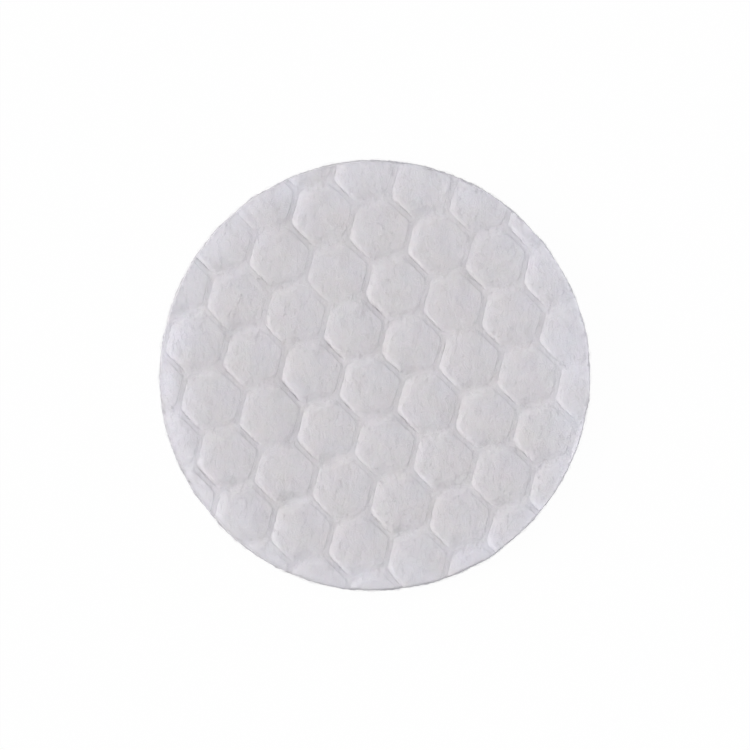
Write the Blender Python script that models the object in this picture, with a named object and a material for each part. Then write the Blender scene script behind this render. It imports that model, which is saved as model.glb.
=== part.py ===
"""Round cotton pad with a honeycomb pressed into its upper face.

Units are metres and +Z is up. The origin is the centre of the flat underside.
The pad is one piece of cotton wool, so the model is one closed solid. A turned
blank gives the outline, the side and the underside. A press plate, whose lower
face is the negative of the honeycomb, then takes away what lies above the cells.
"""

import math

import bmesh
import bpy
from mathutils import Matrix, Vector

MM = 0.001

# The pad as a whole
PAD_DIAMETER = 58.0 * MM
PAD_THICKNESS = 3.4 * MM  # from the underside to the top of the cells

# The honeycomb: raised cells with narrow channels between them
CELL_PITCH = 8.06 * MM  # between the centres of neighbouring cells
CHANNEL_WIDTH = 0.46 * MM  # flat floor between two cells
CHANNEL_DEPTH = 0.5 * MM  # from the top of a cell down to that floor
WALL_RUN = 0.42 * MM  # width of the steep wall at a cell's foot
SHOULDER_RUN = 1.8 * MM  # width of the rounded shoulder above the wall
SHOULDER_DROP = 0.22 * MM  # how far the shoulder falls before the wall begins
CELL_CORNER_RADIUS = 1.1 * MM
PATTERN_TURN = math.radians(-14.64)  # direction of a row of cells, from +X
CELL_CENTRE_X = -0.80 * MM  # where one cell's centre lies, from the pad's centre
CELL_CENTRE_Y = -1.66 * MM

# The rim, which is thinner than the middle and rounded off
RIM_RUN = 4.6 * MM  # width of the ring over which the top sinks
RIM_DROP = 0.3 * MM  # how far it sinks
TOP_EDGE_RUN = 0.3 * MM  # width of the rounding between the top and the side
TOP_EDGE_DROP = 1.3 * MM  # height of that rounding
BOTTOM_EDGE_RADIUS = 0.5 * MM

# Fineness of the facets
OUTLINE_STEPS = 108
TOP_EDGE_STEPS = 5
BOTTOM_EDGE_STEPS = 3
CORNER_STEPS = 2  # flats on each rounded corner of a cell
SHOULDER_STEPS = 2
MERGE_DISTANCE = 0.001 * MM
SHARP_EDGE_ANGLE = math.radians(40)

COTTON_COLOUR = (0.66, 0.645, 0.675, 1.0)
COTTON_ROUGHNESS = 0.95

PAD_RADIUS = PAD_DIAMETER / 2
WALLS_PER_CELL = 6
WALL_ANGLE = 2 * math.pi / WALLS_PER_CELL


def clear_scene():
    for obj in list(bpy.data.objects):
        bpy.data.objects.remove(obj, do_unlink=True)


def cotton_material():
    material = bpy.data.materials.new("cotton")
    material.use_nodes = True
    shader = material.node_tree.nodes["Principled BSDF"]
    shader.inputs["Base Color"].default_value = COTTON_COLOUR
    shader.inputs["Roughness"].default_value = COTTON_ROUGHNESS
    shader.inputs["Metallic"].default_value = 0.0
    return material


def mesh_object(name, bm):
    """Turns a bmesh into a named object with its faces pointing outwards."""
    bmesh.ops.recalc_face_normals(bm, faces=bm.faces)
    mesh = bpy.data.meshes.new(name)
    bm.to_mesh(mesh)
    bm.free()
    obj = bpy.data.objects.new(name, mesh)
    bpy.context.scene.collection.objects.link(obj)
    return obj


def rim_fall(distance):
    """How far the top has sunk at this distance from the pad's axis: a parabola over the rim."""
    share = (distance - (PAD_RADIUS - RIM_RUN)) / RIM_RUN
    return RIM_DROP * min(max(share, 0.0), 1.0) ** 2


def blank_profile():
    """Half section of the blank as (radius, height) points, from the axis below to the axis above.

    Inside the rounded edge the blank stands one channel's depth above the finished
    cells, and the press plate takes all of that away.
    """
    edge_start = PAD_RADIUS - TOP_EDGE_RUN
    points = [(0.0, 0.0)]
    for step in range(BOTTOM_EDGE_STEPS + 1):
        angle = math.pi / 2 * step / BOTTOM_EDGE_STEPS
        points.append((
            PAD_RADIUS - BOTTOM_EDGE_RADIUS * (1 - math.sin(angle)),
            BOTTOM_EDGE_RADIUS * (1 - math.cos(angle)),
        ))
    for step in range(TOP_EDGE_STEPS + 1):
        angle = math.pi / 2 * step / TOP_EDGE_STEPS
        points.append((
            edge_start + TOP_EDGE_RUN * math.cos(angle),
            PAD_THICKNESS - TOP_EDGE_DROP * (1 - math.sin(angle)),
        ))
    blank_top = PAD_THICKNESS + CHANNEL_DEPTH
    points.append((edge_start, blank_top))
    points.append((0.0, blank_top))
    return points


def turned_blank():
    """The disc before it is pressed: the half section spun about the pad's axis."""
    bm = bmesh.new()
    verts = [bm.verts.new((radius, 0.0, height)) for radius, height in blank_profile()]
    edges = [bm.edges.new(pair) for pair in zip(verts, verts[1:])]
    bmesh.ops.spin(
        bm, geom=verts + edges, cent=(0, 0, 0), axis=(0, 0, 1),
        angle=2 * math.pi, steps=OUTLINE_STEPS, use_duplicate=False,
    )
    bmesh.ops.remove_doubles(bm, verts=bm.verts, dist=MERGE_DISTANCE)
    return mesh_object("turned_blank", bm)


def rounded_hexagon(apothem, corner_radius):
    """Points round a hexagon with rounded corners. The first corner lies between the first two walls."""
    radius = min(corner_radius, apothem)
    reach = (apothem - radius) / math.cos(WALL_ANGLE / 2)
    points = []
    for corner in range(WALLS_PER_CELL):
        towards = WALL_ANGLE * (corner + 0.5)
        centre = Vector((math.cos(towards), math.sin(towards))) * reach
        for step in range(CORNER_STEPS + 1):
            angle = towards + WALL_ANGLE * (step / CORNER_STEPS - 0.5)
            points.append(centre + Vector((math.cos(angle), math.sin(angle))) * radius)
    return points


def cell_rings():
    """The cell's section from its foot inwards, as (apothem, height) pairs."""
    foot = (CELL_PITCH - CHANNEL_WIDTH) / 2
    wall_top = foot - WALL_RUN
    rings = [(foot, PAD_THICKNESS - CHANNEL_DEPTH)]
    for step in range(SHOULDER_STEPS + 1):
        share = 1 - step / SHOULDER_STEPS
        apothem = wall_top - SHOULDER_RUN * (1 - share)
        rings.append((apothem, PAD_THICKNESS - SHOULDER_DROP * share**2))
    return rings


def cell_centres(reach):
    """Centres of the honeycomb's cells out to a distance from the pad's axis."""
    along = Vector((math.cos(PATTERN_TURN), math.sin(PATTERN_TURN))) * CELL_PITCH
    across = Vector((
        math.cos(PATTERN_TURN + WALL_ANGLE), math.sin(PATTERN_TURN + WALL_ANGLE),
    )) * CELL_PITCH
    first = Vector((CELL_CENTRE_X, CELL_CENTRE_Y))
    count = math.ceil(2 * reach / CELL_PITCH) + 2
    for row in range(-count, count + 1):
        for column in range(-count, count + 1):
            centre = first + along * column + across * row
            if centre.length <= reach:
                yield centre


def add_pressed_cell(bm, centre):
    """One cell of the press plate's lower face: channel floor, wall, shoulder and flat middle."""
    turn = Matrix.Rotation(PATTERN_TURN, 2)

    def vertex(point, height):
        place = centre + turn @ point
        return bm.verts.new((place.x, place.y, height))

    floor_height = PAD_THICKNESS - CHANNEL_DEPTH
    corner_reach = CELL_PITCH / 2 / math.cos(WALL_ANGLE / 2)
    corners = []
    for corner in range(WALLS_PER_CELL):
        angle = WALL_ANGLE * (corner + 0.5)
        point = Vector((math.cos(angle), math.sin(angle))) * corner_reach
        corners.append(vertex(point, floor_height))

    rings = []
    for apothem, height in cell_rings():
        outline = rounded_hexagon(apothem, CELL_CORNER_RADIUS)
        rings.append([vertex(point, height) for point in outline])

    foot = rings[0]
    per_corner = CORNER_STEPS + 1
    for corner, outer in enumerate(corners):
        arc = foot[corner * per_corner:(corner + 1) * per_corner]
        for start, end in zip(arc, arc[1:]):
            bm.faces.new((outer, end, start))
        next_outer = corners[(corner + 1) % WALLS_PER_CELL]
        next_start = foot[(corner + 1) * per_corner % len(foot)]
        bm.faces.new((outer, next_outer, next_start, arc[-1]))

    for outside, inside in zip(rings, rings[1:]):
        for index in range(len(outside)):
            after = (index + 1) % len(outside)
            bm.faces.new((outside[index], outside[after], inside[after], inside[index]))

    middle = vertex(Vector((0.0, 0.0)), PAD_THICKNESS)
    inner = rings[-1]
    for index in range(len(inner)):
        bm.faces.new((inner[index], inner[(index + 1) % len(inner)], middle))


def press_plate():
    """The tool that shapes the top: its lower face is the honeycomb, and it reaches past the blank.

    The cells follow the fall of the rim. The plate's upper face is another channel's
    depth above the blank.
    """
    bm = bmesh.new()
    for centre in cell_centres(PAD_RADIUS + CELL_PITCH):
        add_pressed_cell(bm, centre)
    bmesh.ops.remove_doubles(bm, verts=bm.verts, dist=MERGE_DISTANCE)
    for vert in bm.verts:
        vert.co.z -= rim_fall(vert.co.xy.length)
    bmesh.ops.triangulate(bm, faces=bm.faces)

    border = [edge for edge in bm.edges if edge.is_boundary]
    raised = bmesh.ops.extrude_edge_only(bm, edges=border)["geom"]
    plate_top = PAD_THICKNESS + 2 * CHANNEL_DEPTH
    for vert in (item for item in raised if isinstance(item, bmesh.types.BMVert)):
        vert.co.z = plate_top
    top_border = [
        item for item in raised
        if isinstance(item, bmesh.types.BMEdge) and item.is_boundary
    ]
    bmesh.ops.contextual_create(bm, geom=top_border)
    bmesh.ops.triangulate(bm, faces=bm.faces)
    return mesh_object("press_plate", bm)


def cotton_pad():
    """The blank with the press plate's form taken out of its upper face."""
    pad = turned_blank()
    pad.name = "cotton_pad"
    pad.data.name = "cotton_pad"

    plate = press_plate()
    plate.hide_render = True
    plate.display_type = "WIRE"

    pressing = pad.modifiers.new("pressing", "BOOLEAN")
    pressing.operation = "DIFFERENCE"
    pressing.object = plate
    pressing.solver = "EXACT"

    pad.data.materials.append(cotton_material())
    pad.data.shade_smooth()
    pad.data.set_sharp_from_angle(angle=SHARP_EDGE_ANGLE)
    return pad


clear_scene()
cotton_pad()
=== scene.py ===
import math

import bpy
import numpy as np
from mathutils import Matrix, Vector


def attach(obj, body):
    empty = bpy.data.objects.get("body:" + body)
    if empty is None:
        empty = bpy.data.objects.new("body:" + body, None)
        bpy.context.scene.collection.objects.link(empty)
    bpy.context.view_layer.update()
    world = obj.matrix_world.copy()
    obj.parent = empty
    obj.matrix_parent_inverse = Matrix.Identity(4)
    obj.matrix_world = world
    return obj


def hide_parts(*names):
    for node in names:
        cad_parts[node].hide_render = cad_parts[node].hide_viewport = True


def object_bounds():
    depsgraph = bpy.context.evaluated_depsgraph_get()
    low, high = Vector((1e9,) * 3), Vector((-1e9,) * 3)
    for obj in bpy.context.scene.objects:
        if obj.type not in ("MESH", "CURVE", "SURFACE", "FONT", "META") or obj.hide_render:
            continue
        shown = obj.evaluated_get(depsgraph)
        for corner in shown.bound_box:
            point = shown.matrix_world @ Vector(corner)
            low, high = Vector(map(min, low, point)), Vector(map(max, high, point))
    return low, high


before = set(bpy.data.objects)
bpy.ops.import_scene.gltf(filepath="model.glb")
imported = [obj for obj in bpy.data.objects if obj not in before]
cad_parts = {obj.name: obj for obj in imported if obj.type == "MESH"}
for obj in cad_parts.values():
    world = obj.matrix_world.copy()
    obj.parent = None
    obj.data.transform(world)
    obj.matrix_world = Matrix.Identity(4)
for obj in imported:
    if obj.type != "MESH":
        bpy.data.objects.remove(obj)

mm = 0.001
fullTurn = 2 * math.pi
sideTurn = fullTurn / 6  # from one side of a cell to the next
tiny = 1e-12             # keeps divisions off zero
cadLow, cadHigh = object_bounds()
padRadius = (cadHigh.x - cadLow.x) / 2
padThickness = cadHigh.z
print("frame loaded, pad", round(2 * padRadius / mm, 1), "by", round(padThickness / mm, 1), "mm")


# Camera: straight above the pad, as in the photo
photoView = {
    "across": 750.0,      # px, the whole photo
    "padAcross": 431.0,   # px, the pad's outline
    "padX": 374.22,       # px, middle of the outline
    "padY": 374.94,
    "lens": 300.0,        # mm
    "sensor": 36.0,       # mm
    "scaleAt": 2.6 * mm,  # height at which the outline's width counts
    "clipFrom": 10 * mm,
}


def addCamera(view):
    perPixel = 2 * padRadius / view["padAcross"]
    middle = (view["across"] - 1) / 2
    away = view["across"] * perPixel * view["lens"] / view["sensor"]
    data = bpy.data.cameras.new("above")
    data.lens = view["lens"]
    data.sensor_width = view["sensor"]
    data.clip_start = view["clipFrom"]
    camera = bpy.data.objects.new("above", data)
    camera.location = (
        (middle - view["padX"]) * perPixel,
        (view["padY"] - middle) * perPixel,
        view["scaleAt"] + away,
    )
    bpy.context.collection.objects.link(camera)
    bpy.context.scene.camera = camera


addCamera(photoView)
print("camera placed")


# Pad: one closed skin, honeycomb on top, felted side, plain underside
honeycomb = {
    "pitch": 8.06 * mm,
    "turn": math.radians(-14.64),
    "cellX": -0.80 * mm,        # a cell's middle, from the pad's
    "cellY": -1.66 * mm,
    "depth": 0.285 * mm,
    "roundness": 13.0,          # power of the smooth maximum, lower is rounder
    "roundBy": 0.2 * mm,        # the skin's rings of points are rounded too from this gap on
    # A cell's six sides, anticlockwise from the right one: steep and sharp on the right, broad and
    # rounded on the left, as if the wool had been dragged under the press. Lengths are in mm: run of
    # the shoulder, share of the depth on it, its bend, gap at the wall's foot, run of the wall, lean
    # of the floor, depth of the crease, its gap, and where on the way to the next side this shape
    # gives way
    "sides": [
        (3.9, 0.78, 1.20, 0.12, 0.22, -0.02, 0.028, 0.26, 0.54),
        (3.5, 0.61, 1.05, 0.14, 0.38, -0.01, 0.016, 0.34, 0.42),
        (2.6, 0.25, 1.10, -0.03, 1.20, 0.00, 0.000, 0.34, 0.42),
        (2.2, 0.88, 1.38, 0.34, 1.06, 0.078, 0.045, 0.42, 0.50),
        (2.1, 0.60, 2.10, 0.22, 0.48, 0.088, 0.100, 0.29, 0.50),
        (3.7, 0.72, 1.25, 0.28, 1.32, 0.045, 0.000, 0.30, 0.40),
    ],
    "sideEase": 0.76,           # part of a side's turn over which one shape eases into the next
    "creaseWidth": 0.055 * mm,
    "creaseBreaks": 2.4 * mm,   # the crease comes and goes over about this length
    "creaseUneven": 0.45,       # by about this share, up to so many times its depth
    "creaseMost": 2.2,
    "cornerRun": 0.16,          # part of a side's turn over which it fades out at a corner
    "wobble": 0.05 * mm,        # slow and quick wandering of the channels
    "wobbleSize": 9.0 * mm,
    "jitter": 0.016 * mm,
    "jitterSize": 1.3 * mm,
    "cellLift": 0.05 * mm,      # cells differ in height by about this
    "liftRun": 1.5 * mm,        # and have their own height from this gap on
    # Gaps from the channel's middle, in mm, at which the rings of points lie
    "rings": [4.03, 3.62, 3.22, 2.84, 2.48, 2.14, 1.82, 1.54, 1.30, 1.09, 0.91, 0.76,
              0.63, 0.53, 0.46, 0.40, 0.35, 0.30, 0.26, 0.22, 0.17, 0.11, 0.05, 0.0],
}

# Where the wool took the pressing less or more: x, y in mm, change in the share of the depth
pressing = {
    "reach": 2.0 * mm,
    "least": 0.12,              # least and most share of the depth anywhere
    "most": 1.9,
    "soft": [
        (-8.3, 11.0, -0.80), (-13.7, 5.3, -0.46), (-14.8, 9.2, -0.42), (-15.6, 13.1, -0.70),
        (-21.3, 7.3, -0.60), (-9.1, 14.9, -0.48), (12.2, 16.6, -0.72), (6.5, 10.8, -0.45),
        (11.3, 20.4, -0.60), (-1.7, -12.3, -0.60), (-12.9, -23.8, -0.60), (14.1, -16.4, -0.55),
        (-18.0, 20.7, -0.75), (-20.4, 21.6, -0.50), (-25.6, 13.6, -0.60), (-6.7, 7.2, -0.45),
        (-3.2, 20.7, -0.46), (2.5, 26.4, -0.48), (24.5, -1.0, -0.38), (-25.8, -2.3, -0.08),
        (13.2, -12.4, -0.30), (4.6, 18.6, -0.10), (-18.0, -4.3, -0.12), (23.4, 2.9, -0.40),
        (25.6, -4.9, -0.36), (27.2, -8.6, -0.60), (17.4, 11.7, -0.45), (-13.8, 19.8, -0.58),
        (-3.9, 10.0, -0.72), (11.7, 6.0, -0.55), (-13.0, -9.2, -0.55), (10.3, 24.4, -0.35),
        (16.7, 1.0, -0.20), (20.2, 14.5, -0.15), (-8.1, -14.1, -0.26), (-15.2, -1.4, -0.35),
        (-23.7, -10.0, -0.10), (-20.1, 3.5, -0.10), (27.3, 1.9, -0.55), (-3.1, -19.0, -0.35),
        (-12.9, -23.5, -0.15), (8.6, -22.1, -0.20), (15.3, -20.2, -0.15), (-15.9, -12.1, -0.18),
        (-19.1, -0.4, -0.22), (3.6, 22.5, -0.15), (25.2, 9.6, -0.35),
    ],
    "firm": [
        (-10.4, -6.3, 0.60), (-11.4, -2.4, 1.30), (-11.2, 22.7, 0.35), (-0.1, 9.0, 0.72),
        (-5.7, 3.3, 1.20), (13.4, 12.7, 1.00), (0.5, -20.1, 0.75), (-14.1, -19.9, 0.45),
        (-9.9, 18.8, 0.66), (-22.6, -13.9, 1.30), (4.3, -6.5, 0.82), (5.7, 14.7, 0.35),
        (2.2, 1.2, 0.45), (-12.4, 1.4, 0.30), (-1.0, 12.9, 0.25), (14.6, 8.8, 0.20),
        (11.0, -4.7, 0.10), (-10.9, -17.0, 0.85), (-25.1, 8.4, 1.00), (-5.3, -11.2, 0.55),
        (4.7, -21.0, 0.66), (6.1, 0.2, 0.55), (-7.4, -3.5, 0.42), (10.3, -15.3, 0.30),
        (12.5, -23.1, 0.30), (-22.9, 14.6, 0.30), (-4.6, -0.6, 0.18), (1.1, 5.1, 0.15),
        (19.9, -10.6, 0.14), (-4.9, -25.8, 0.25), (7.8, 7.0, 0.28), (-17.3, 6.3, 0.50),
        (7.5, 21.5, 0.15), (23.8, -11.6, 0.35), (-3.5, -4.5, 0.33), (-24.7, -6.2, 0.35),
        (13.9, -1.8, 0.12), (-19.4, 14.1, 0.30), (18.9, 18.4, 0.45), (3.2, -2.6, 0.15),
        (-2.1, 16.8, 0.30), (-26.9, 1.6, 0.20), (12.1, -8.6, 0.18), (-18.7, -14.9, 0.35),
        (-8.1, 25.6, 0.35), (16.0, -9.6, 0.15),
    ],
    "unevenness": 0.06,
    "unevenSize": 11.0 * mm,
}

rim = {
    "run": 4.6 * mm,
    # how far the top sinks towards the outline: heading in degrees, mm
    "drop": [(0, 0.00), (45, 0.15), (80, 0.42), (135, 0.32), (180, 0.32), (215, 0.34), (240, 0.16),
             (265, 0.40), (290, 0.18), (320, 0.05), (360, 0.00)],
    "leanFrom": math.radians(170),  # the left rim leans further out between these
    "leanTo": math.radians(224),
    "leanEase": math.radians(14),   # and the lean sets in over this
    "leanRun": 2.6 * mm,
    "leanDrop": 0.48 * mm,
    "leanPower": 1.6,
    # how far the rounding at the top of the side reaches inwards: heading in degrees, mm
    "edgeRun": [(0, 0.06), (45, 0.08), (70, 0.20), (100, 0.22), (125, 0.16), (150, 0.10), (180, 0.10),
                (225, 0.14), (250, 0.16), (270, 0.20), (295, 0.18), (312, 0.08), (360, 0.06)],
    "widestAt": 1.35 * mm,      # height at which the side is widest
    "widestWaver": 0.08,        # share by which that height varies
    "widestSize": 12.0 * mm,
    "bottomRound": 0.5 * mm,
    "inset": 0.118 * mm,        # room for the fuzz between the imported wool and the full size
    "outlineWaver": 0.028 * mm,
    "waverSize": 5.0 * mm,
    # where the cut runs out or in: heading and half width in degrees, mm
    "bulges": [(6, 14, 0.07), (38, 10, -0.09), (100, 25, 0.05), (166, 3, -0.18), (168, 34, 0.06),
               (255, 18, 0.09), (312, 6, -0.09), (330, 14, -0.05), (357, 5, 0.05)],
    "sideRelief": 0.050 * mm,
    # layers and tufts of the cut side: length, how many times flatter they lie, share, seed
    "felt": [(4.2 * mm, 6.0, 1.0, 43), (1.1 * mm, 2.2, 0.7, 44)],
    "feltFade": 0.7,            # power of the half sine by which they fade above and below
    # painted shade at the cut edge, percent darker than the rest at each heading; below zero, painted
    # light shining through
    "edgeShade": [(0, -13), (45, -12), (60, -7), (75, 0), (90, 7), (105, 6), (120, 10), (135, 12),
                  (150, 10), (165, 0), (180, 11), (195, 14), (210, 18), (225, 17), (240, 12), (255, 13),
                  (270, 9), (285, 4), (300, 5), (315, -9), (330, -12), (345, -10), (360, -13)],
    "shadeRun": 0.62 * mm,
    "shadeLow": 0.8 * mm,       # no shade below this height, and all of it from twice the height
    "rings": (10, 4, 5),        # rings of points round the top edge, down the side and in under it
}

underside = {
    "margin": 0.35 * mm,        # between the side's last ring and the even grid
    "rings": 5,                 # of points, in each cell of the grid
    "relief": 0.018 * mm,
    "reliefSize": 4.0 * mm,
}

# Small folds: x, y in mm, direction, length, width, height
folds = [
    (-15.2, 23.4, 118, 3.4, 0.34, 0.10), (-13.9, 22.6, 112, 2.8, 0.30, 0.08),
    (-16.6, 21.6, 128, 3.0, 0.36, -0.10), (-19.6, 19.2, 140, 2.6, 0.36, 0.09),
    (-23.8, 14.2, 150, 2.2, 0.40, -0.08), (9.6, 24.9, 62, 2.4, 0.32, 0.07),
    (-0.6, -16.7, 75, 0.8, 0.20, -0.12), (-2.0, -18.6, 30, 2.0, 0.13, -0.06),
    (4.6, -11.9, 75, 1.6, 0.13, -0.05), (-12.6, 12.6, 20, 2.4, 0.30, 0.06),
    (-16.4, 12.2, 140, 2.0, 0.26, -0.05), (-10.4, 11.9, 165, 2.2, 0.26, 0.05),
]

# Round tufts standing up: x, y, reach and height in mm
tufts = [
    (0.7, -14.7, 0.40, 0.070), (2.5, -16.6, 0.45, 0.050), (0.1, -12.4, 0.30, 0.050),
    (-15.6, 13.2, 0.45, 0.050), (-12.2, 9.4, 0.50, 0.045), (-17.9, 10.6, 0.40, 0.045),
]

wool = {
    "tuft": 0.011 * mm,      # soft lumps
    "tuftSize": 2.2 * mm,
    "tuftLeft": 0.4,         # share of them that is left in the channels
    "nap": 0.006 * mm,       # finer unevenness on them
    "napSize": 0.75 * mm,
}


def waves(x, y, size, seed, count=40):
    # Sum of plane waves of about one size, in random directions, with a spread of one
    rng = np.random.default_rng(seed)
    heading = rng.uniform(0, fullTurn, count)
    length = size * rng.uniform(0.7, 1.5, count)
    phase = rng.uniform(0, fullTurn, count)
    along = np.multiply.outer(x, np.cos(heading) / length)
    along += np.multiply.outer(y, np.sin(heading) / length)
    return math.sqrt(2 / count) * np.cos(fullTurn * along + phase).sum(axis=-1)


def smooth(t):
    # Eases from 0 to 1 as t goes from 0 to 1
    t = np.clip(t, 0, 1)
    return t * t * (3 - 2 * t)


def bell(x, y, atX, atY, reach):
    # 1 at a place given in mm, and less all round it: e to the minus square of distance over reach
    away = np.hypot(x - atX * mm, y - atY * mm) / reach
    return np.exp(-away * away)


def nearestCell(x, y):
    # The point's two lattice coordinates, rounded down, give four cells, and the nearest wins. Comes
    # back with the way from that cell's middle, and with the cell's two numbers.
    pitch, turn = honeycomb["pitch"], honeycomb["turn"]
    fromX, fromY = x - honeycomb["cellX"], y - honeycomb["cellY"]
    ax, ay = math.cos(turn) * pitch, math.sin(turn) * pitch
    bx, by = math.cos(turn + sideTurn) * pitch, math.sin(turn + sideTurn) * pitch
    area = ax * by - ay * bx
    column = np.floor((fromX * by - fromY * bx) / area)
    row = np.floor((fromY * ax - fromX * ay) / area)
    best = np.full(np.shape(x), np.inf)
    found = [np.zeros_like(best) for _ in range(4)]
    for stepColumn, stepRow in ((0, 0), (1, 0), (0, 1), (1, 1)):
        i, j = column + stepColumn, row + stepRow
        qx, qy = fromX - i * ax - j * bx, fromY - i * ay - j * by
        nearer = qx * qx + qy * qy < best
        best = np.where(nearer, qx * qx + qy * qy, best)
        found = [np.where(nearer, new, old) for new, old in zip((qx, qy, i, j), found)]
    return found


def drift(x, y):
    # How far the pressed lines wander from the true honeycomb: slow waves and quick small ones
    def wander(slowSeed, quickSeed):
        slow = honeycomb["wobble"] * waves(x, y, honeycomb["wobbleSize"], slowSeed)
        return slow + honeycomb["jitter"] * waves(x, y, honeycomb["jitterSize"], quickSeed)

    return wander(11, 14), wander(12, 15)


def towardsWall(qx, qy, power=None):
    # How far a point lies from its cell's middle towards the nearest wall: the largest of the
    # three directions, or for rounded corners the power-th root of the sum of their powers
    reaches = []
    for wall in range(3):
        angle = honeycomb["turn"] + wall * sideTurn
        reaches.append(np.abs(qx * math.cos(angle) + qy * math.sin(angle)))
    if power is None:
        return np.maximum(np.maximum(reaches[0], reaches[1]), reaches[2])
    return sum(reach ** power for reach in reaches) ** (1 / power)


def channelGap(x, y):
    # As the channels wander: the way from the cell's middle, the distance from the channel's middle,
    # and the cell's two numbers
    dx, dy = drift(x, y)
    qx, qy, i, j = nearestCell(x + dx, y + dy)
    gap = np.maximum(honeycomb["pitch"] / 2 - towardsWall(qx, qy, honeycomb["roundness"]), 0)
    return qx, qy, gap, i, j


def pressed(x, y):
    # Share of the full depth: 1, plus or minus a bell at each soft or firm place and a slow unevenness
    share = 1 + pressing["unevenness"] * waves(x, y, pressing["unevenSize"], 21)
    for atX, atY, change in pressing["soft"] + pressing["firm"]:
        share += change * bell(x, y, atX, atY, pressing["reach"])
    return np.clip(share, pressing["least"], pressing["most"])


def foldHeight(x, y):
    # Each fold is a short ridge or furrow, bell-shaped across and along
    height = np.zeros_like(x)
    for atX, atY, heading, length, width, rise in folds:
        angle = math.radians(heading)
        dx, dy = x / mm - atX, y / mm - atY
        along = dx * math.cos(angle) + dy * math.sin(angle)
        across = dy * math.cos(angle) - dx * math.sin(angle)
        height += rise * mm * np.exp(-(along / length * 2) ** 2 - (across / width) ** 2)
    return height


def tuftHeight(x, y):
    # Each tuft is a bell
    height = np.zeros_like(x)
    for atX, atY, reach, rise in tufts:
        height += rise * mm * bell(x, y, atX, atY, reach * mm)
    return height


def byHeading(what, angle):
    # A size of the rim at each heading, along straight lines between the given ones
    headings, values = np.array(rim[what]).T
    return np.interp(np.degrees(angle) % 360, headings, values) * mm


def outlineRadius(angle):
    # The pad's radius less the inset, plus a bell at each bulge and a fine waver
    radius = padRadius - rim["inset"] + 0 * angle
    for heading, width, out in rim["bulges"]:
        off = (np.degrees(angle) - heading + 180) % 360 - 180
        radius += out * mm * np.exp(-(off / width) ** 2)
    x, y = padRadius * np.cos(angle), padRadius * np.sin(angle)
    return radius + rim["outlineWaver"] * waves(x, y, rim["waverSize"], 42)


def feltRelief(angle, height):
    # Two sets of waves on the unrolled side, both lying flat: long layers and shorter tufts. Both
    # fade towards the top and the bottom, by a half sine.
    along = padRadius * angle
    felt = sum(share * waves(along, height * flat, size, seed) for size, flat, share, seed in rim["felt"])
    fade = np.sin(math.pi * np.clip(height / padThickness, 0, 1)) ** rim["feltFade"]
    return rim["sideRelief"] * felt * fade


def rimFall(x, y):
    # The top sinks as the square of the way across the rim, and further where the left rim leans
    radius, angle = np.hypot(x, y), np.arctan2(y, x) % fullTurn
    out = np.clip((radius - padRadius + rim["run"]) / rim["run"], 0, 1)
    fall = byHeading("drop", angle) * out ** 2
    ease = rim["leanEase"]
    lean = smooth((angle - rim["leanFrom"]) / ease) * smooth((rim["leanTo"] - angle) / ease)
    out = np.clip((radius - padRadius + rim["leanRun"]) / rim["leanRun"], 0, 1)
    return fall + rim["leanDrop"] * lean * out ** rim["leanPower"]


def sideShape(heading):
    # The numbers of the side that a heading from the cell's middle meets, eased into the next side's
    # at the corner
    place = ((heading - honeycomb["turn"]) / sideTurn) % 6
    side = np.floor(place).astype(int)
    rows = np.array(honeycomb["sides"])
    givesWay = rows[side % 6, -1]
    share = smooth((place - side - givesWay) / honeycomb["sideEase"] + 0.5)[..., None]
    return np.moveaxis(rows[side % 6] * (1 - share) + rows[(side + 1) % 6] * share, -1, 0)


def fromCorner(qx, qy):
    # How far a heading from the cell's middle is from the nearest corner, as a part of a side's turn:
    # 0 at the corner, and 0.5 in the middle of a side
    place = (np.arctan2(qy, qx) - honeycomb["turn"]) / sideTurn
    return 0.5 - np.abs(place - np.round(place))


def topHeight(x, y):
    # Cells' level less the drops of the shoulder, the wall, the leaning floor and the crease, all by
    # the distance from the channel's middle, less the rim's fall, and plus the folds and the wool's
    # own unevenness
    cell = honeycomb
    qx, qy, gap, i, j = channelGap(x, y)
    run, share, bend, foot, wallRun, lean, crease, creaseGap, _ = sideShape(np.arctan2(qy, qx))
    foot = foot * mm
    wall = smooth((gap - foot) / (wallRun * mm))
    sink = cell["depth"] * (1 - share) * (1 - wall)
    sink += cell["depth"] * share * np.clip(1 - gap / (run * mm), 0, 1) ** bend
    sink += lean * mm * np.clip(gap / foot, 0, 1) * (1 - wall)
    uneven = cell["creaseUneven"] * waves(x, y, cell["creaseBreaks"], 16)
    broken = np.clip(1 + uneven, 0, cell["creaseMost"])
    alongSide = smooth(fromCorner(qx, qy) / cell["cornerRun"])
    furrow = np.exp(-((gap - creaseGap * mm) / cell["creaseWidth"]) ** 2)
    sink += crease * mm * broken * alongSide * furrow
    most = 32  # cells on each side of the first one, more than the pad has
    lifts = np.random.default_rng(13).uniform(-1, 1, (2 * most, 2 * most))
    lift = lifts[i.astype(int) + most, j.astype(int) + most]
    height = padThickness - cell["cellLift"] - sink * pressed(x, y)
    height += cell["cellLift"] * lift * np.clip(gap / cell["liftRun"], 0, 1)
    left = wool["tuftLeft"]
    height += wool["tuft"] * waves(x, y, wool["tuftSize"], 31) * (left + (1 - left) * wall)
    height += wool["nap"] * waves(x, y, wool["napSize"], 32, 64)
    return height - rimFall(x, y) + foldHeight(x, y) + tuftHeight(x, y)


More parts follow.
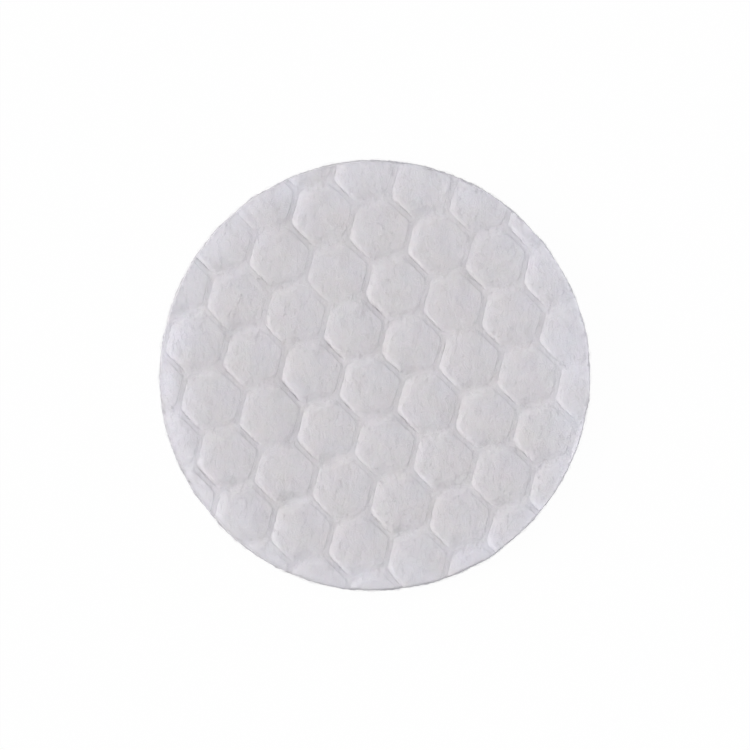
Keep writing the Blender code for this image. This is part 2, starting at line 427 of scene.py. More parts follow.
def hexGrid(rings, radius, gaps=None):
    # Two parameters count steps towards two neighbouring corners of a cell. With gaps given, each
    # ring round a cell's middle goes to its gap from the channel, along the rounded outline of the
    # cell, and everything wanders as the channels do. What lies past the rounding's inner edge, or
    # without gaps past the radius, is pulled onto it.
    pitch, turn = honeycomb["pitch"], honeycomb["turn"]
    step = pitch / math.sqrt(3) / rings
    ux, uy = math.cos(turn + fullTurn / 12) * step, math.sin(turn + fullTurn / 12) * step
    vx, vy = math.cos(turn + fullTurn / 4) * step, math.sin(turn + fullTurn / 4) * step
    most = int((radius + pitch) / step * 1.2)  # the fifth more is for the lattice's slant
    counts = np.arange(-most, most + 1)
    u, v = np.meshgrid(counts, counts, indexing="ij")
    x = honeycomb["cellX"] + u * ux + v * vx
    y = honeycomb["cellY"] + u * uy + v * vy
    if gaps is not None:
        qx, qy, _, _ = nearestCell(x, y)
        flat = np.maximum(towardsWall(qx, qy), tiny)
        rounded = np.maximum(towardsWall(qx, qy, honeycomb["roundness"]), tiny)
        wanted = pitch / 2 - np.interp(flat, np.linspace(0, pitch / 2, rings + 1), np.array(gaps) * mm)
        follow = np.clip((pitch / 2 - wanted) / honeycomb["roundBy"], 0, 1)
        share = wanted / (flat * (1 - follow) + rounded * follow)
        x, y = x + qx * (share - 1), y + qy * (share - 1)
        dx, dy = drift(x, y)
        x, y = x - dx, y - dy
    away = np.hypot(x, y)
    if gaps is not None:
        angle = np.arctan2(y, x)
        radius = outlineRadius(angle) - byHeading("edgeRun", angle)
    almost = 0.9995  # what lies this near to the edge is pulled onto it too
    inside = away < radius * almost
    pull = np.where(inside, 1.0, radius / np.maximum(away, tiny))
    number = np.arange(u.size).reshape(u.shape)
    a, b, c, d = number[:-1, :-1], number[1:, :-1], number[1:, 1:], number[:-1, 1:]
    faces = np.concatenate([np.stack(t, -1).reshape(-1, 3) for t in ((a, b, d), (b, c, d))])
    faces = faces[inside.ravel()[faces].any(axis=1)]
    used, faces = np.unique(faces, return_inverse=True)
    points = np.stack([(x * pull).ravel(), (y * pull).ravel()], -1)[used]
    return points, faces.reshape(-1, 3)


def outerLoop(points, faces):
    # An edge used once is on the outline. Steps along the outline are doubled again and again,
    # which numbers its points in order, and then their angles are made to rise steadily.
    ends = np.concatenate([faces[:, [0, 1]], faces[:, [1, 2]], faces[:, [2, 0]]])
    total = len(points)
    forward = ends[:, 0] * total + ends[:, 1]
    backward = ends[:, 1] * total + ends[:, 0]
    ends = ends[~np.isin(forward, backward)]
    follow = np.arange(total)
    follow[ends[:, 0]] = ends[:, 1]
    start = ends[np.argmin(np.arctan2(points[ends[:, 0], 1], points[ends[:, 0], 0])), 0]
    ahead = np.where(follow == start, np.arange(total), follow)
    left = (ahead != np.arange(total)).astype(int)
    for _ in range(14):  # enough for 16,000 points
        left = left + left[ahead]
        ahead = ahead[ahead]
    loop = ends[:, 0][np.argsort(-left[ends[:, 0]])]
    angle = np.unwrap(np.arctan2(points[loop, 1], points[loop, 0]))
    leastTurn = 0.004 / len(loop)  # from one point of the outline to the next
    least = leastTurn * np.arange(len(loop))
    angle = np.maximum.accumulate(angle - least) + least
    radius = np.hypot(points[loop, 0], points[loop, 1])
    points[loop] = np.stack([radius * np.cos(angle), radius * np.sin(angle)], -1)
    return loop, angle


def zipLoops(outer, outerAngle, inner, innerAngle):
    # Two loops round one axis: each edge of one meets the point of the other that its far end has reached
    start = outerAngle[0]
    turned = (innerAngle - start) % fullTurn
    order = np.argsort(turned)
    inner, turned = inner[order], turned[order]
    swept = outerAngle - start
    nextOuter = np.roll(outer, -1)
    nextSwept = np.append(swept[1:], fullTurn)
    at = inner[(np.searchsorted(turned, nextSwept) - 1) % len(inner)]
    first = np.stack([outer, nextOuter, at], -1)
    nextInner = np.roll(inner, -1)
    place = np.searchsorted(swept, np.roll(turned, -1), side="right") - 1
    second = np.stack([inner, outer[place], nextInner], -1)
    return np.concatenate([first, second])


def addPiece(name, points, faceBlocks, material):
    mesh = bpy.data.meshes.new(name)
    mesh.from_pydata(points.tolist(), [], [face for block in faceBlocks for face in block.tolist()])
    mesh.validate()
    mesh.shade_smooth()
    mesh.materials.append(material)
    piece = bpy.data.objects.new(name, mesh)
    bpy.context.collection.objects.link(piece)
    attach(piece, "root")
    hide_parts("cotton_pad")
    print(name, "has", len(mesh.polygons), "faces")
    return piece


# Cotton wool: matt, fibrous, slightly translucent, warmer in the middle, and bluer and lighter at the rim
# where painted light stands in for the light that comes through the thinner wool there
cottonLook = {
    "warm": (0.663, 0.644, 0.665),
    "cool": (0.656, 0.641, 0.675),
    # painted light: the colour that light coming through thinner wool gives
    "lightThroughColour": (0.7025, 0.6945, 0.7445),
    "paintedShadeStep": 0.99,     # brightness for each unit of painted shade, as in the channels' middle
    "streakContrast": 0.070,
    "hairContrast": 0.035,
    # layers of combed fibres: direction in degrees, strands for each mm across and along, share
    "layers": [(86, 3.4, 0.45, 0.56), (112, 4.4, 0.70, 0.24), (38, 3.2, 0.60, 0.20)],
    "tint": 0.030,            # blotches of slightly different white
    "tintSize": 0.40,         # blotches for each mm
    "speckTint": 0.036,       # the same in small specks
    "speckSize": 1.5,
    "pitSize": 0.55,          # dark flecks for each mm, painted shade of tiny pits
    "pitRadius": 0.075,
    "pitContrast": 0.05,
    "speckCells": 2.0,        # light specks for each mm
    "speckRadius": 0.12,
    "speckContrast": 0.105,
    "dashCells": (0.8, 3.0),  # dark dashes for each mm, along and across the fibres
    "dashRadius": 0.17,
    "dashContrast": 0.085,
    "curl": 0.35,             # mm that the fibres wander
    "curlSize": 0.45,         # bends for each mm
    "hairSize": 0.85,         # loops of single hairs for each mm
    "hairWidth": 0.035,
    "grainSize": 6.0,
    "hairShare": 0.25,        # height of the hairs, and of the grain, against the streaks
    "grainShare": 0.20,
    "relief": 0.057 * mm,     # height of the bump
    "roughness": 0.84,        # least, and what the grain adds to it
    "roughSpread": 0.16,
    "specular": 0.15,
    "scatter": 0.4,
    "scatterRadius": 0.5 * mm,
    "scatterColour": (1.0, 0.95, 1.0),
    "sheen": 0.12,
    "sheenRoughness": 0.6,
}


def setInput(tree, socket, value):
    # Another node's output is linked, and a plain value is set
    if isinstance(value, bpy.types.NodeSocket):
        tree.links.new(value, socket)
    else:
        socket.default_value = value


def addNode(tree, kind, **inputs):
    node = tree.nodes.new(kind)
    for name, value in inputs.items():
        setInput(tree, node.inputs[name], value)
    return node


def mathNode(tree, operation, *values, kind="ShaderNodeMath", **named):
    node = tree.nodes.new(kind)
    node.operation = operation
    for key, value in (*enumerate(values), *named.items()):
        setInput(tree, node.inputs[key], value)
    return node.outputs[0]


def vectorNode(tree, operation, *values, **named):
    return mathNode(tree, operation, *values, kind="ShaderNodeVectorMath", **named)


def noiseNode(tree, place, size, **inputs):
    return addNode(tree, "ShaderNodeTexNoise", Vector=place, Scale=size, **inputs)


def fieldNode(tree, name):
    node = tree.nodes.new("ShaderNodeAttribute")
    node.attribute_name = name
    return node.outputs["Fac"]


def mixColour(tree, share, first, second):
    node = tree.nodes.new("ShaderNodeMix")
    node.data_type = "RGBA"
    sockets = [socket for socket in node.inputs if socket.type == "RGBA"]
    for socket, value in zip((node.inputs["Factor"], *sockets), (share, first, second)):
        setInput(tree, socket, (*value, 1) if isinstance(value, tuple) else value)
    return [socket for socket in node.outputs if socket.type == "RGBA"][0]


def nearTo(tree, distance, reach):
    # 1 at no distance, falling evenly to 0 at the reach
    share = mathNode(tree, "DIVIDE", distance, reach)
    return mathNode(tree, "MAXIMUM", mathNode(tree, "SUBTRACT", 1.0, share), 0.0)


def spots(tree, place, cells, radius):
    # A round spot at a random place in each cell of a pattern
    pattern = addNode(tree, "ShaderNodeTexVoronoi", Vector=place, Scale=cells)
    return nearTo(tree, pattern.outputs["Distance"], radius)


def combed(tree, place, heading, across, along, number=0):
    # Stretches a pattern along a heading, to so many strands for each mm across and along, and
    # shifts each numbered layer to another part of it
    shift = (7.3 * number, 3.1 * number, 0)
    node = addNode(
        tree, "ShaderNodeMapping", Vector=place, Location=shift,
        Rotation=(0, 0, math.radians(heading)), Scale=(1 / along, 1 / across, 1 / across),
    )
    node.vector_type = "TEXTURE"
    return node.outputs[0]


def makeCotton(name, look):
    material = bpy.data.materials.new(name)
    material.use_nodes = True
    tree = material.node_tree
    place = tree.nodes.new("ShaderNodeTexCoord").outputs["Object"]
    inMm = vectorNode(tree, "SCALE", place, Scale=1 / mm)

    # Every point is pushed about by slow noise, so that the fibres bend. Such noise strays about a
    # quarter from its middle value, hence the 4.
    bend = noiseNode(tree, inMm, look["curlSize"], Detail=2.0)
    centred = vectorNode(tree, "SUBTRACT", bend.outputs["Color"], (0.5, 0.5, 0.5))
    pushed = vectorNode(tree, "MULTIPLY_ADD", centred, (4 * look["curl"],) * 3, inMm)

    # Combed layers: noise stretched along the fibres, at three headings
    streaks = 0.0
    for number, (heading, across, along, part) in enumerate(look["layers"]):
        strands = combed(tree, pushed, heading, across, along, number)
        layer = noiseNode(tree, strands, 1.0, Detail=3.0, Roughness=0.6)
        streaks = mathNode(tree, "MULTIPLY_ADD", layer.outputs[0], part, streaks)

    # Single hairs: thin lines where a curly noise crosses its middle value
    hair = noiseNode(tree, pushed, look["hairSize"], Detail=1.5, Distortion=0.6)
    off = mathNode(tree, "ABSOLUTE", mathNode(tree, "SUBTRACT", hair.outputs[0], 0.5))
    hairs = nearTo(tree, off, look["hairWidth"])
    grain = noiseNode(tree, pushed, look["grainSize"], Detail=2.0, Roughness=0.7).outputs[0]

    # Dark flecks, painted shade of tiny pits, light specks, and dark dashes, which lie along the fibres
    flecks = spots(tree, pushed, look["pitSize"], look["pitRadius"])
    specks = spots(tree, inMm, look["speckCells"], look["speckRadius"])
    along, across = look["dashCells"]
    dashPlace = combed(tree, inMm, look["layers"][0][0], across, along)
    dashes = spots(tree, dashPlace, 1.0, look["dashRadius"])

    height = mathNode(tree, "MULTIPLY_ADD", hairs, look["hairShare"], streaks)
    height = mathNode(tree, "MULTIPLY_ADD", grain, look["grainShare"], height)
    bump = addNode(tree, "ShaderNodeBump", Strength=1.0, Distance=look["relief"], Height=height)

    # Colour: warm and cool parts with painted lamp tint, and bluer painted light where the wool is
    # thinner
    colour = mixColour(tree, fieldNode(tree, "cool"), look["warm"], look["cool"])
    colour = mixColour(tree, fieldNode(tree, "thin"), colour, look["lightThroughColour"])
    # painted shade where the pressed field is above zero, and painted light where it is below
    shade = mathNode(tree, "MULTIPLY_ADD", fieldNode(tree, "pressed"), look["paintedShadeStep"] - 1, 1.0)
    contrast = look["streakContrast"]
    fromStreaks = mathNode(tree, "MULTIPLY_ADD", streaks, contrast, -contrast / 2)
    fromHairs = mathNode(tree, "MULTIPLY", hairs, look["hairContrast"])
    shade = mathNode(tree, "ADD", shade, mathNode(tree, "ADD", fromStreaks, fromHairs))
    shade = mathNode(tree, "MULTIPLY_ADD", flecks, -look["pitContrast"], shade)
    shade = mathNode(tree, "MULTIPLY_ADD", specks, look["speckContrast"], shade)
    shade = mathNode(tree, "MULTIPLY_ADD", dashes, -look["dashContrast"], shade)

    # Blotches: the three parts of the colour drift apart a little
    for size, amount in ((look["tintSize"], look["tint"]), (look["speckSize"], look["speckTint"])):
        blotch = noiseNode(tree, inMm, size, Detail=1.5).outputs["Color"]
        apart = vectorNode(tree, "MULTIPLY_ADD", blotch, (amount,) * 3, (1 - amount / 2,) * 3)
        colour = vectorNode(tree, "MULTIPLY", colour, apart)

    finish = {
        "Base Color": vectorNode(tree, "SCALE", colour, Scale=shade),
        "Normal": bump.outputs["Normal"],
        "Roughness": mathNode(tree, "MULTIPLY_ADD", grain, look["roughSpread"], look["roughness"]),
        "Specular IOR Level": look["specular"],
        "Subsurface Weight": look["scatter"],
        "Subsurface Radius": look["scatterColour"],
        "Subsurface Scale": look["scatterRadius"],
        "Sheen Weight": look["sheen"],
        "Sheen Roughness": look["sheenRoughness"],
    }
    shader = tree.nodes["Principled BSDF"]
    for socket, value in finish.items():
        setInput(tree, shader.inputs[socket], value)
    return material


packedCotton = makeCotton("packed cotton", cottonLook)

# Painted light where the wool is thinner and lets light through: lighter, bluer colour, from 0 to about 1
lightThroughWool = {
    "from": 21.5 * mm,          # it thins out from this radius on
    "run": 7.0 * mm,
    "rise": 0.62,
    "uneven": 0.16,
    "unevenSize": 7.0 * mm,
    "most": 1.6,
    # x, y and reach in mm, strength
    "places": [
        (22.6, 17.1, 1.0, 0.8), (27.0, 8.7, 1.1, 1.0), (28.3, 1.7, 0.9, 0.8), (26.6, -6.1, 0.9, 0.45),
        (27.0, -9.4, 1.4, 0.25), (26.2, -11.4, 1.4, 1.0), (21.9, -17.8, 1.0, 0.8),
        (15.8, -23.4, 1.5, 0.8), (27.5, 3.0, 7.0, 0.55), (22.0, 17.0, 5.5, 0.35),
        (-27.4, 4.7, 1.8, 1.0), (-28.0, -1.5, 1.3, 0.7), (-27.2, -5.5, 1.6, 0.4),
        (-25.2, -11.2, 1.8, 0.3),
    ],
}

# Painted shade in the channels and on each cell's lower side, and a painted highlight on its lower left
# edge
paintedShadeSizes = {
    "line": 0.34 * mm,          # reach of the painted shade line in the channels
    "low": 1.6,                 # how dark the painted shade on a cell's lower side is, against that line
    "paleAt": 0.60 * mm,        # gap and reach of the painted highlight on the lower left edge
    "paleReach": 0.38 * mm,
    "pale": 3.0,
    "above": 1.0 * mm,          # the underside has none of this
}

# How far its white goes from warm, 0, to cool, 1: slow patches of its own tone, and painted lamp tint
coolWoolAndLampTint = {
    "share": 0.35,
    "patches": 0.22,
    "patchSize": 5.5 * mm,
    "most": 1.4,
    # painted lamp tint in each cell, from the cool fill and warm key light: x, y and reach in mm,
    # strength
    "places": [(1.9, 1.8, 1.7, 0.55), (-1.6, -1.9, 2.0, -0.25)],
}


def paintedLightThrough(x, y):
    # Painted light: rises from the rim's inner edge outwards, unevenly, with a bell at each thinner place
    outwards = smooth((np.hypot(x, y) - lightThroughWool["from"]) / lightThroughWool["run"])
    rise = outwards * (lightThroughWool["rise"] + lightThroughWool["uneven"] * waves(x, y, lightThroughWool["unevenSize"], 51))
    for atX, atY, reach, strength in lightThroughWool["places"]:
        rise = rise + strength * bell(x, y, atX, atY, reach * mm)
    return np.clip(rise, 0, lightThroughWool["most"])


def paintedShadeAndHighlight(x, y):
    # Painted shade: 1 at the channel's middle, falling as a bell to either side, more over each cell's
    # lower
    # side. Painted highlight: less along its lower left edge, which faces the key light
    qx, qy, gap, _, _ = channelGap(x, y)

    def wayTowards(angle):
        return (qx * math.cos(angle) + qy * math.sin(angle)) / (honeycomb["pitch"] / 2)

    down = honeycomb["turn"] - fullTurn / 8
    # painted highlight along the lower left edge
    edge = np.exp(-((gap - paintedShadeSizes["paleAt"]) / paintedShadeSizes["paleReach"]) ** 2)
    pale = smooth(2 * wayTowards(down - fullTurn / 4) - 1) * edge
    # painted shade along the channel
    line = np.exp(-(gap / paintedShadeSizes["line"]) ** 2)
    return line + paintedShadeSizes["low"] * smooth(wayTowards(down)) - paintedShadeSizes["pale"] * pale


def edgeShade(x, y, z):
    # Painted shade at the cut edge, painted light below zero: grows towards the outline, fades out down
    # the side
    radius, angle = np.hypot(x, y), np.arctan2(y, x) % fullTurn
    near = smooth((radius - outlineRadius(angle)) / rim["shadeRun"] + 1)
    return near * smooth(z / rim["shadeLow"] - 1) * byHeading("edgeShade", angle) / mm


def coolToneAndLampTint(x, y):
    # Own slow patches, and painted lamp tint: a bell at the upper right of each cell less one at its
    # lower left
    qx, qy, _, _ = nearestCell(x, y)
    cool = coolWoolAndLampTint["share"] + coolWoolAndLampTint["patches"] * waves(x, y, coolWoolAndLampTint["patchSize"], 61)
    for atX, atY, reach, strength in coolWoolAndLampTint["places"]:
        cool = cool + strength * bell(qx, qy, atX, atY, reach * mm)
    return np.clip(cool, 0, coolWoolAndLampTint["most"])


def addField(piece, name, values):
    field = piece.data.attributes.new(name, "FLOAT", "POINT")
    field.data.foreach_set("value", values.astype(np.float32))


def padSkin():
    flat, faces = hexGrid(len(honeycomb["rings"]) - 1, padRadius, honeycomb["rings"])
    loop, angle = outerLoop(flat, faces)
    top = np.column_stack([flat, topHeight(flat[:, 0], flat[:, 1])])
    print("top laid out,", len(top), "points")

    # Side: from the top's own edge out to the widest ring as a quarter ellipse, down, and in under
    edge = top[loop, 2]
    x, y = np.cos(angle) * padRadius, np.sin(angle) * padRadius
    widest = rim["widestAt"] * (1 + rim["widestWaver"] * waves(x, y, rim["widestSize"], 41))
    onEdge, onSide, beneath = rim["rings"]
    quarter = np.linspace(0, math.pi / 2, onEdge + 1)[1:]
    outline = outlineRadius(angle)
    radii = [outline - byHeading("edgeRun", angle) * (1 - math.sin(a)) for a in quarter]
    heights = [widest + (edge - widest) * math.cos(a) for a in quarter]
    down = np.linspace(0, 1, onSide + 2)[1:-1]
    radii += [outline for _ in down]
    heights += [widest + (rim["bottomRound"] - widest) * d for d in down]
    under = np.linspace(0, math.pi / 2, beneath)
    radii += [outline - rim["bottomRound"] * (1 - math.cos(a)) for a in under]
    heights += [rim["bottomRound"] * (1 - math.sin(a)) + 0 * angle for a in under]
    radii, heights = np.array(radii), np.array(heights)
    radii += feltRelief(angle[None, :] + 0 * heights, heights)
    side = np.stack([radii * np.cos(angle), radii * np.sin(angle), heights], -1).reshape(-1, 3)
    rows = np.concatenate([loop[None, :], len(top) + np.arange(radii.size).reshape(radii.shape)])
    a, b = rows[:-1], rows[1:]
    c, d = np.roll(b, -1, axis=1), np.roll(a, -1, axis=1)
    sideFaces = np.concatenate([np.stack(t, -1).reshape(-1, 3) for t in ((a, b, c), (a, c, d))])

    # Underside: a coarser even grid inside the last ring, joined to it
    bottomRadius = padRadius - rim["bottomRound"] - underside["margin"]
    plain, plainFaces = hexGrid(underside["rings"], bottomRadius)
    innerLoop, innerAngle = outerLoop(plain, plainFaces)
    uneven = waves(plain[:, 0], plain[:, 1], underside["reliefSize"], 45)
    rise = underside["relief"] * np.clip(1 + uneven, 0, 2)
    bottom = np.column_stack([plain, rise])
    base = len(top) + len(side)
    joint = zipLoops(rows[-1], angle, base + innerLoop, innerAngle)
    points = np.concatenate([top, side, bottom])
    allFaces = np.concatenate([faces, sideFaces, joint[:, ::-1], base + plainFaces[:, ::-1]])
    return points, allFaces


points, faces = padSkin()
pad = addPiece("pad", points, [faces], packedCotton)
# painted light through thinner wool
addField(pad, "thin", paintedLightThrough(points[:, 0], points[:, 1]))
# the wool's own cool tone and painted lamp tint
addField(pad, "cool", coolToneAndLampTint(points[:, 0], points[:, 1]))
# painted shade and highlights on the top, and the cut edge's painted shade and light
paintedShadeShare = paintedShadeAndHighlight(points[:, 0], points[:, 1]) * (points[:, 2] > paintedShadeSizes["above"])
addField(pad, "pressed", paintedShadeShare + edgeShade(*points.T))


# Loose fibres: short ones combed one way, long curly ones, thin ones that stand up in arches,
# knots of fibre, and fuzz round the side
fibres = {
    # how many, heading in degrees and its spread, least and most length (mm), thickness (mm),
    # bend along the length (degrees), how high the middle may arch (mm)
    "nap": (5200, 87, 15, 0.35, 1.30, 0.020, 0.042, 34, 0.01),
    "curls": (320, 75, 60, 1.40, 3.60, 0.012, 0.020, 200, 0.03),
    "fluff": (500, 80, 70, 1.00, 2.80, 0.010, 0.015, 240, 0.12),
    # how many, least and most radius, thickness (mm), windings
    "knots": (170, 0.05, 0.14, 0.016, 0.026, 2.6),
    # how many, least and most length, thickness, how far they stand out (mm)
    "fuzz": (3900, 0.25, 1.20, 0.014, 0.034, 0.09),
    "wisps": (700, 1.00, 3.20, 0.008, 0.016, 0.34),
    "points": {"nap": 5, "curls": 17, "fluff": 13, "knots": 19, "fuzz": 7, "wisps": 13},
    "tips": 0.35,                 # thickness of the ends, as a share
    "light": 1.10,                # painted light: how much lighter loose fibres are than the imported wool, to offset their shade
    "relief": 0.02 * mm,          # height of the bump on them
    "scatter": 0.05,
    "bridge": 0.05 * mm,          # most that a fibre hangs above a channel's floor
    "startInside": 0.5 * mm,      # how far inside the outline a fibre starts, and stays
    "stayInside": 0.35 * mm,
    "steadyBend": 0.6,            # spread of the bend that goes one way, and of the one that wavers
    "waveBend": 0.4,
}

knotShape = {
    "inside": 1.5 * mm,           # how far inside the outline they lie
    "perTuft": 5,
    "spread": 0.5,                # round a tuft's middle, as a share of its reach
    "tilt": (0.2, 0.8),           # least and most, in radians
    "tiltRise": 1.2,
    "swell": 0.25,                # share of the radius that comes and goes
    "swells": 1.7,                # how often it does
    "stand": 0.7,                 # 1 stands up fully, 0 lies flat
}

sideFibre = {
    "tilt": 0.55,                 # spread, in radians
    "middle": (0.15, 2.75),       # least and most height of a fibre's middle, in mm
    "wave": 0.12 * mm,            # slow rise and fall
    "lowest": 0.03 * mm,
    "highest": 2.9 * mm,
    "edgeHeight": 1.55 * mm,      # from the widest ring to where the top edge's rounding ends
}


def tube(path, thickness):
    # A three-sided tube along each path: at each point three corners, a third of a turn apart, in the
    # plane of the level and the steep normal of the path, half a thickness away, thinner at the ends
    count, steps = path.shape[:2]
    along = np.gradient(path, axis=1)
    along /= np.linalg.norm(along, axis=2, keepdims=True) + tiny
    level = np.cross(along, (0.0, 0.0, 1.0))
    level /= np.linalg.norm(level, axis=2, keepdims=True) + tiny
    steep = np.cross(level, along)
    tips = fibres["tips"]
    taper = tips + (1 - tips) * np.sin(math.pi * np.linspace(0, 1, steps)) ** 0.5
    half = (thickness[:, None] / 2 * taper)[..., None, None]
    turn = np.arange(3) * fullTurn / 3 + math.pi / 6
    corner = level[:, :, None] * np.cos(turn)[:, None] + steep[:, :, None] * np.sin(turn)[:, None]
    points = (path[:, :, None] + half * corner).reshape(-1, 3)
    number = np.arange(count * steps * 3).reshape(count, steps, 3)
    a, b = number[:, :-1], number[:, 1:]
    c, d = np.roll(b, -1, axis=2), np.roll(a, -1, axis=2)
    walls = np.stack([a, d, c, b], -1).reshape(-1, 4)
    caps = np.concatenate([number[:, 0, ::-1], number[:, -1]])
    return points, [walls, caps]


def lyingPath(kind, seed):
    # Start, then steps of equal length whose heading bends smoothly, laid on the pad. Between its
    # ends a fibre stays above the straight line that joins them, so it bridges the channels.
    total, heading, spread, shortest, longest, thinnest, thickest, bend, arch = fibres[kind]
    steps = fibres["points"][kind]
    rng = np.random.default_rng(seed)
    radius = (padRadius - fibres["startInside"]) * np.sqrt(rng.uniform(0, 1, total))
    angle = rng.uniform(0, fullTurn, total)
    length = rng.uniform(shortest, longest, total) * mm
    first = np.radians(heading + spread * rng.normal(0, 1, total))
    share = np.linspace(0, 1, steps)
    turning = rng.normal(0, fibres["steadyBend"], (total, 1)) * share
    waver = rng.normal(0, fibres["waveBend"], (total, 1))
    turning = turning + waver * np.sin(fullTurn * (share + rng.uniform(0, 1, (total, 1))))
    towards = first[:, None] + math.radians(bend) * turning
    stride = (length / (steps - 1))[:, None]
    x = (radius * np.cos(angle))[:, None] + np.cumsum(np.cos(towards), axis=1) * stride
    y = (radius * np.sin(angle))[:, None] + np.cumsum(np.sin(towards), axis=1) * stride
    inward = np.minimum(1, (padRadius - fibres["stayInside"]) / np.hypot(x, y))
    x, y = x * inward, y * inward
    ground = topHeight(x, y)
    line = ground[:, :1] + (ground[:, -1:] - ground[:, :1]) * share
    thickness = rng.uniform(thinnest, thickest, total) * mm
    z = np.clip(line, ground, ground + fibres["bridge"]) + 0.1 * thickness[:, None]  # nearly half sunk
    z += arch * mm * rng.uniform(0, 1, (total, 1)) ** 2 * np.sin(math.pi * share)
    return np.stack([x, y, z], -1), thickness


# A lighter copy of the cotton for the loose fibres, painted light that offsets their shade
lightenedLooseCotton = makeCotton("loose cotton", {
    **cottonLook,
    "warm": tuple(fibres["light"] * part for part in cottonLook["warm"]),
    "cool": tuple(fibres["light"] * part for part in cottonLook["cool"]),
    "relief": fibres["relief"],
    "scatter": fibres["scatter"],
})


def addFibres(name, path, thickness):
    points, faces = tube(path, thickness)
    piece = addPiece(name, points, faces, lightenedLooseCotton)
    # painted light through thinner wool, as on the pad
    addField(piece, "thin", paintedLightThrough(points[:, 0], points[:, 1]))
    # the wool's own cool tone and painted lamp tint, as on the pad
    addField(piece, "cool", coolToneAndLampTint(points[:, 0], points[:, 1]))
    # painted shade and light of the cut edge, as on the pad
    addField(piece, "pressed", edgeShade(*points.T))


for kind, seed in (("nap", 71), ("curls", 72), ("fluff", 75)):
    addFibres(kind, *lyingPath(kind, seed))


def knotPath(seed):
    # Windings round a slowly tilting axis, with a radius that swells and shrinks, half sunk in the top.
    # A few lie on each tuft, the rest anywhere.
    total, smallest, largest, thinnest, thickest, windings = fibres["knots"]
    knot = knotShape
    rng = np.random.default_rng(seed)
    size = rng.uniform(smallest, largest, (total, 1)) * mm
    radius = (padRadius - knot["inside"]) * np.sqrt(rng.uniform(0, 1, total))
    angle = rng.uniform(0, fullTurn, total)
    x, y = radius * np.cos(angle), radius * np.sin(angle)
    onTuft = np.array(tufts)[np.arange(knot["perTuft"] * len(tufts)) % len(tufts)]
    spread = rng.normal(0, knot["spread"], (len(onTuft), 2)) * onTuft[:, 2:3]
    x[:len(onTuft)], y[:len(onTuft)] = ((onTuft[:, :2] + spread) * mm).T
    share = np.linspace(0, 1, fibres["points"]["knots"])
    around = fullTurn * (windings * share + rng.uniform(0, 1, (total, 1)))
    tilt = rng.uniform(*knot["tilt"], (total, 1)) + knot["tiltRise"] * share
    swelling = np.sin(fullTurn * (knot["swells"] * share + rng.uniform(0, 1, (total, 1))))
    reach = size * (1 - knot["swell"] + knot["swell"] * swelling)
    heading = rng.uniform(0, fullTurn, (total, 1))
    flatX, flatY = reach * np.cos(around), reach * np.sin(around) * np.cos(tilt)
    px = x[:, None] + flatX * np.cos(heading) - flatY * np.sin(heading)
    py = y[:, None] + flatX * np.sin(heading) + flatY * np.cos(heading)
    pz = topHeight(px, py) + np.maximum(reach * np.sin(around) * np.sin(tilt), 0) * knot["stand"]
    return np.stack([px, py, pz], -1), rng.uniform(thinnest, thickest, total) * mm


addFibres("knots", *knotPath(76))


def sidePath(kind, seed):
    # Fibres of the cut side: along it, with a slow rise and fall, and out and back in by a half sine.
    # Few stand out far, because the distance goes with the cube of an even draw.
    total, shortest, longest, thinnest, thickest, out = fibres[kind]
    rng = np.random.default_rng(seed)
    share = np.linspace(0, 1, fibres["points"][kind])
    length = rng.uniform(shortest, longest, total) * mm
    tilt = rng.normal(0, sideFibre["tilt"], total)
    start = rng.uniform(0, fullTurn, total)
    middle = rng.uniform(*sideFibre["middle"], total) * mm
    angle = start[:, None] + (length * np.cos(tilt) / padRadius)[:, None] * share
    z = middle[:, None] + (length * np.sin(tilt))[:, None] * (share - 0.5)
    z += sideFibre["wave"] * rng.normal(0, 1, (total, 1)) * np.sin(fullTurn * share)
    z = np.clip(z, sideFibre["lowest"], sideFibre["highest"])
    under = np.clip(1 - z / rim["bottomRound"], 0, 1)
    above = np.clip((z - rim["widestAt"]) / sideFibre["edgeHeight"], 0, 1)
    radius = outlineRadius(angle) - rim["bottomRound"] * (1 - np.sqrt(1 - under ** 2))
    radius += feltRelief(angle, z) - byHeading("edgeRun", angle) * (1 - np.sqrt(1 - above ** 2))
    radius += out * mm * rng.uniform(0, 1, (total, 1)) ** 3 * np.sin(math.pi * share)
    thickness = rng.uniform(thinnest, thickest, total) * mm
    return np.stack([radius * np.cos(angle), radius * np.sin(angle), z], -1), thickness


for kind, seed in (("fuzz", 73), ("wisps", 74)):
    addFibres(kind, *sidePath(kind, seed))


# Light: plain and soft, stronger from the left
light = {
    # direction it comes from, height above the floor, spread (degrees), strength, colour
    "key": (179, 25, 45, 2.20, (1.0, 0.98, 0.965)),
    "fill": (14, 28, 70, 0.60, (0.97, 0.985, 1.0)),
    "top": (90, 85, 70, 1.30, (1.0, 1.0, 1.0)),
    "ambient": 0.20,
    "ambientColour": (0.98, 0.985, 1.0),
}


def seenPlainly(tree):
    # 1 for what is seen directly, as a reflection or through glass, and 0 for light on the object
    ways = tree.nodes.new("ShaderNodeLightPath").outputs
    direct = mathNode(tree, "MAXIMUM", ways["Is Camera Ray"], ways["Is Glossy Ray"])
    return mathNode(tree, "MAXIMUM", direct, ways["Is Transmission Ray"])


def mixShaders(tree, share, first, second):
    mix = tree.nodes.new("ShaderNodeMixShader")
    for socket, value in zip(mix.inputs, (share, first.outputs[0], second.outputs[0])):
        setInput(tree, socket, value)
    return mix.outputs[0]


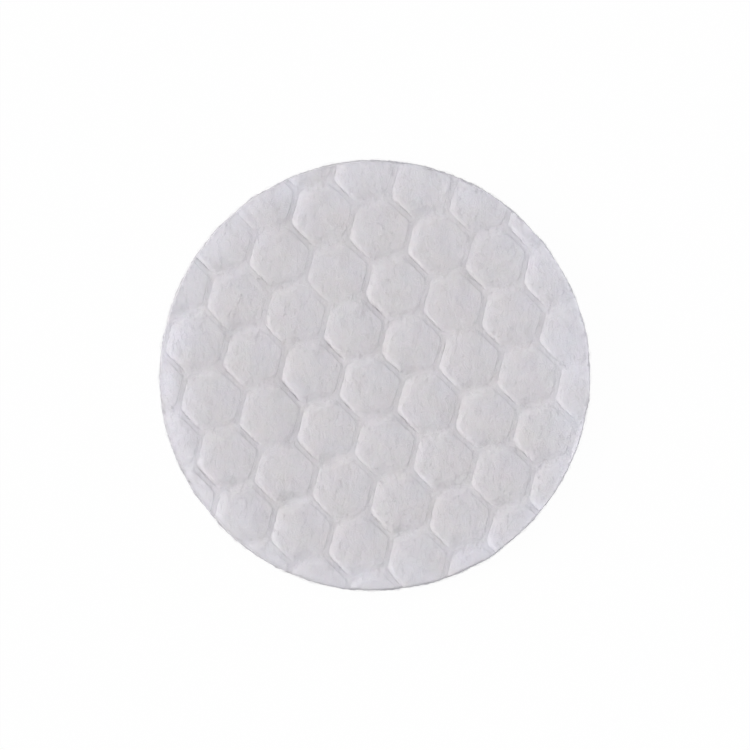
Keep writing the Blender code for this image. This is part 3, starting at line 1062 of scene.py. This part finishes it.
def addLight(settings):
    for name in ("key", "fill", "top"):
        towards, height, spread, strength, colour = settings[name]
        data = bpy.data.lights.new(name, "SUN")
        data.energy = strength
        data.angle = math.radians(spread)
        data.color = colour
        lamp = bpy.data.objects.new(name, data)
        lamp.rotation_euler = (0, math.radians(90 - height), math.radians(towards))
        bpy.context.collection.objects.link(lamp)

    world = bpy.data.worlds.new("studio")
    world.use_nodes = True
    bpy.context.scene.world = world
    tree = world.node_tree
    tree.nodes.clear()
    output = tree.nodes.new("ShaderNodeOutputWorld")
    seen = addNode(tree, "ShaderNodeBackground", Color=(1, 1, 1, 1), Strength=1.0)
    ambient = (*settings["ambientColour"], 1)
    lit = addNode(tree, "ShaderNodeBackground", Color=ambient, Strength=settings["ambient"])
    tree.links.new(mixShaders(tree, seenPlainly(tree), lit, seen), output.inputs["Surface"])


addLight(light)
print("light placed")


# Floor: white, with a faint shadow of the pad
floorLook = {
    "half": 1.5,      # m
    "below": 0.1 * mm,
    "colour": (0.85, 0.85, 0.85, 1),
    "glow": 0.97,     # how much of what the camera sees is plain white
}


def addFloor(look):
    half = look["half"]
    mesh = bpy.data.meshes.new("floor")
    corners = [(-half, -half, 0), (half, -half, 0), (half, half, 0), (-half, half, 0)]
    mesh.from_pydata(corners, [], [(0, 1, 2, 3)])
    floor = bpy.data.objects.new("floor", mesh)
    bpy.context.collection.objects.link(floor)
    material = bpy.data.materials.new("white paper")
    material.use_nodes = True
    tree = material.node_tree
    shader = tree.nodes["Principled BSDF"]
    shader.inputs["Base Color"].default_value = look["colour"]
    shader.inputs["Roughness"].default_value = 1.0
    shader.inputs["Specular IOR Level"].default_value = 0.0
    white = addNode(tree, "ShaderNodeEmission", Color=(1, 1, 1, 1), Strength=1.0)
    share = mathNode(tree, "MULTIPLY", seenPlainly(tree), look["glow"])
    surface = tree.nodes["Material Output"].inputs["Surface"]
    tree.links.new(mixShaders(tree, share, shader, white), surface)
    mesh.materials.append(material)
    floor.location.z = -look["below"]


addFloor(floorLook)
print("floor placed")
bpy.context.scene.view_settings.view_transform = "Standard"
